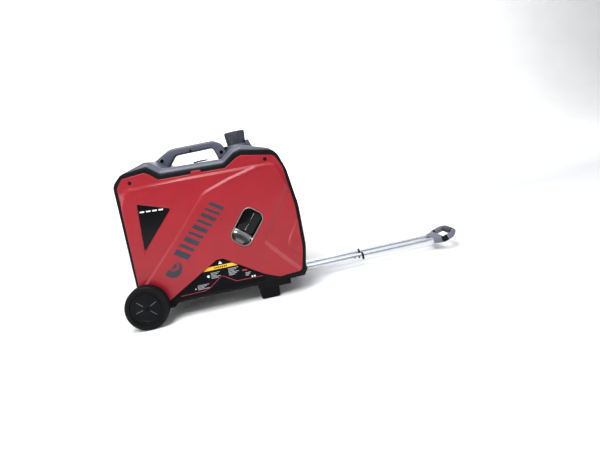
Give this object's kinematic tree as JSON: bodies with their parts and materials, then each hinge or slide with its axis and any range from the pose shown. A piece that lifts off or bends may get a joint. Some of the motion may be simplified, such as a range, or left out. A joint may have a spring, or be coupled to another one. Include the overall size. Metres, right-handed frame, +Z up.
{
  "type": "inverter generator",
  "caption": "Portable suitcase inverter generator with carrying handle, two wheels, two feet, recoil starter and a telescopic trolley handle.",
  "frame": {"origin": "middle of the whole object's footprint, trolley handle pulled out, on the surface it stands on", "axes": "+X from the wheel end towards the trolley handle, +Y away from the recoil starter side, +Z up"},
  "size_m": [1.15, 0.41, 0.564],
  "materials": {
    "red_panel": "satin",
    "charcoal_cover": "fine textured",
    "black_plastic": "satin moulded",
    "gloss_black": "polished",
    "rubber": "matte",
    "tyre": "matte",
    "tube_metal": "bright satin",
    "steel": "satin",
    "cast": "as cast",
    "chrome": "polished",
    "grip_grey": "fine textured",
    "copper": "wound wire",
    "muffler": "heat dulled",
    "tank": "moulded",
    "switch_red": "moulded"
  },
  "bodies": {
    "casing": {"ac_outlet_1": "black_plastic", "ac_outlet_2": "black_plastic", "air_cleaner": "black_plastic", "axle": "steel", "badge_plate": "gloss_black", "base_tray": "black_plastic", "carburettor": "cast", "control_cover": "black_plastic", "control_panel": "gloss_black", "crankcase": "cast", "cylinder": "cast", "cylinder_head": "cast", "exhaust_cover": "black_plastic", "foot_left": "rubber", "foot_right": "rubber", "fuel_tank": "tank", "inverter_unit": "cast", "label_plate": "gloss_black", "muffler": "muffler", "panel_screw_trolley_end": "steel", "panel_screw_wheel_end": "steel", "recoil_housing": "charcoal_cover", "side_cover_left": "black_plastic", "side_cover_right": "black_plastic", "side_panel_left": "red_panel", "side_panel_right": "red_panel", "spark_plug": "steel", "starter_bezel": "chrome", "starter_pocket": "gloss_black", "stator": "copper", "top_cover_left": "charcoal_cover", "top_cover_right": "charcoal_cover", "trolley_guide": "black_plastic"},
    "wheel_left": {"wheel_hub_left": "black_plastic", "tyre_left": "tyre"},
    "wheel_right": {"wheel_hub_right": "black_plastic", "tyre_right": "tyre"},
    "trolley_middle": {"middle_tube_left": "tube_metal", "middle_tube_right": "tube_metal"},
    "lock_left": {"lock_button_left": "steel"},
    "lock_right": {"lock_button_right": "steel"},
    "trolley_inner": {"inner_tube_left": "tube_metal", "inner_tube_right": "tube_metal", "grip_yoke": "grip_grey", "grip_bar": "rubber"},
    "cap_lift": {"cap_seal": "rubber"},
    "cap_turn": {"fuel_cap": "black_plastic"},
    "plug_cover": {"spark_plug_cover": "black_plastic"},
    "door": {"maintenance_door": "red_panel"},
    "door_lock": {"door_lock": "black_plastic"},
    "starter_grip": {"recoil_grip": "black_plastic", "starter_rope": "rubber"},
    "starter_pulley": {"recoil_pulley": "black_plastic"},
    "crank": {"crankshaft": "steel", "flywheel_rotor": "cast"},
    "oil_plug": {"oil_filler_plug": "black_plastic"},
    "engine_knob": {"engine_switch": "switch_red"},
    "eco_rocker": {"eco_switch": "switch_red"},
    "ac_reset": {"ac_reset_button": "black_plastic"},
    "dc_breaker": {"dc_breaker_button": "black_plastic"}
  },
  "joints": [
    {"name": "wheel_left_spin", "type": "hinge", "parent": "casing", "child": "wheel_left", "pos_m": [-0.505, -0.187, 0.07], "axis": [0, 1, 0], "continuous": true},
    {"name": "wheel_right_spin", "type": "hinge", "parent": "casing", "child": "wheel_right", "pos_m": [-0.505, 0.187, 0.07], "axis": [0, 1, 0], "continuous": true},
    {"name": "trolley_middle_slide", "type": "slide", "parent": "casing", "child": "trolley_middle", "axis": [1, 0, 0], "range_m": [-0.207, 0]},
    {"name": "trolley_inner_slide", "type": "slide", "parent": "trolley_middle", "child": "trolley_inner", "axis": [1, 0, 0], "range_m": [-0.256, 0]},
    {"name": "lock_left_press", "type": "slide", "parent": "trolley_middle", "child": "lock_left", "axis": [0, 1, 0], "range_m": [0, 0.002], "stiffness_N_per_m": 400},
    {"name": "lock_right_press", "type": "slide", "parent": "trolley_middle", "child": "lock_right", "axis": [0, -1, 0], "range_m": [0, 0.002], "stiffness_N_per_m": 400},
    {"name": "fuel_cap_lift", "type": "slide", "parent": "casing", "child": "cap_lift", "axis": [0, 0, 1], "range_m": [0, 0.08]},
    {"name": "fuel_cap_turn", "type": "hinge", "parent": "cap_lift", "child": "cap_turn", "pos_m": [-0.127, 0, 0.518], "axis": [0, 0, 1], "range_deg": [0, 120]},
    {"name": "spark_plug_cover_lift", "type": "slide", "parent": "casing", "child": "plug_cover", "axis": [0, 0, 1], "range_m": [0, 0.02]},
    {"name": "maintenance_door_swing", "type": "hinge", "parent": "casing", "child": "door", "pos_m": [-0.325, 0.165, 0.357], "axis": [1, 0, 0], "range_deg": [0, 75]},
    {"name": "door_lock_turn", "type": "hinge", "parent": "door", "child": "door_lock", "pos_m": [-0.325, 0.1615, 0.249], "axis": [0, 1, 0], "range_deg": [0, 90]},
    {"name": "starter_pull", "type": "slide", "parent": "casing", "child": "starter_grip", "axis": [0, -1, 0], "range_m": [0, 0.5]},
    {"name": "starter_pulley_turn", "type": "hinge", "parent": "casing", "child": "starter_pulley", "pos_m": [-0.146, 0, 0.19], "axis": [1, 0, 0], "range_deg": [-5, 480]},
    {"name": "crankshaft_spin", "type": "hinge", "parent": "casing", "child": "crank", "pos_m": [-0.235, 0, 0.19], "axis": [1, 0, 0], "continuous": true},
    {"name": "oil_plug_turn", "type": "hinge", "parent": "casing", "child": "oil_plug", "pos_m": [-0.33, 0.075, 0.15], "axis": [0, 1, 0], "range_deg": [0, 720]},
    {"name": "engine_switch_turn", "type": "hinge", "parent": "casing", "child": "engine_knob", "pos_m": [0.006, 0.068, 0.302], "axis": [1, 0, 0], "range_deg": [-90, 45]},
    {"name": "eco_switch_rock", "type": "hinge", "parent": "casing", "child": "eco_rocker", "pos_m": [0.005, 0, 0.357], "axis": [0, 1, 0], "range_deg": [0, 8]},
    {"name": "ac_reset_press", "type": "slide", "parent": "casing", "child": "ac_reset", "axis": [-1, 0, 0], "range_m": [0, 0.004], "stiffness_N_per_m": 400},
    {"name": "dc_breaker_press", "type": "slide", "parent": "casing", "child": "dc_breaker", "axis": [-1, 0, 0], "range_m": [0, 0.004], "stiffness_N_per_m": 400}
  ],
  "couplings": [
    {"joint": "starter_pulley_turn", "follows": "starter_pull", "rad_per_m": 16.667}
  ]
}
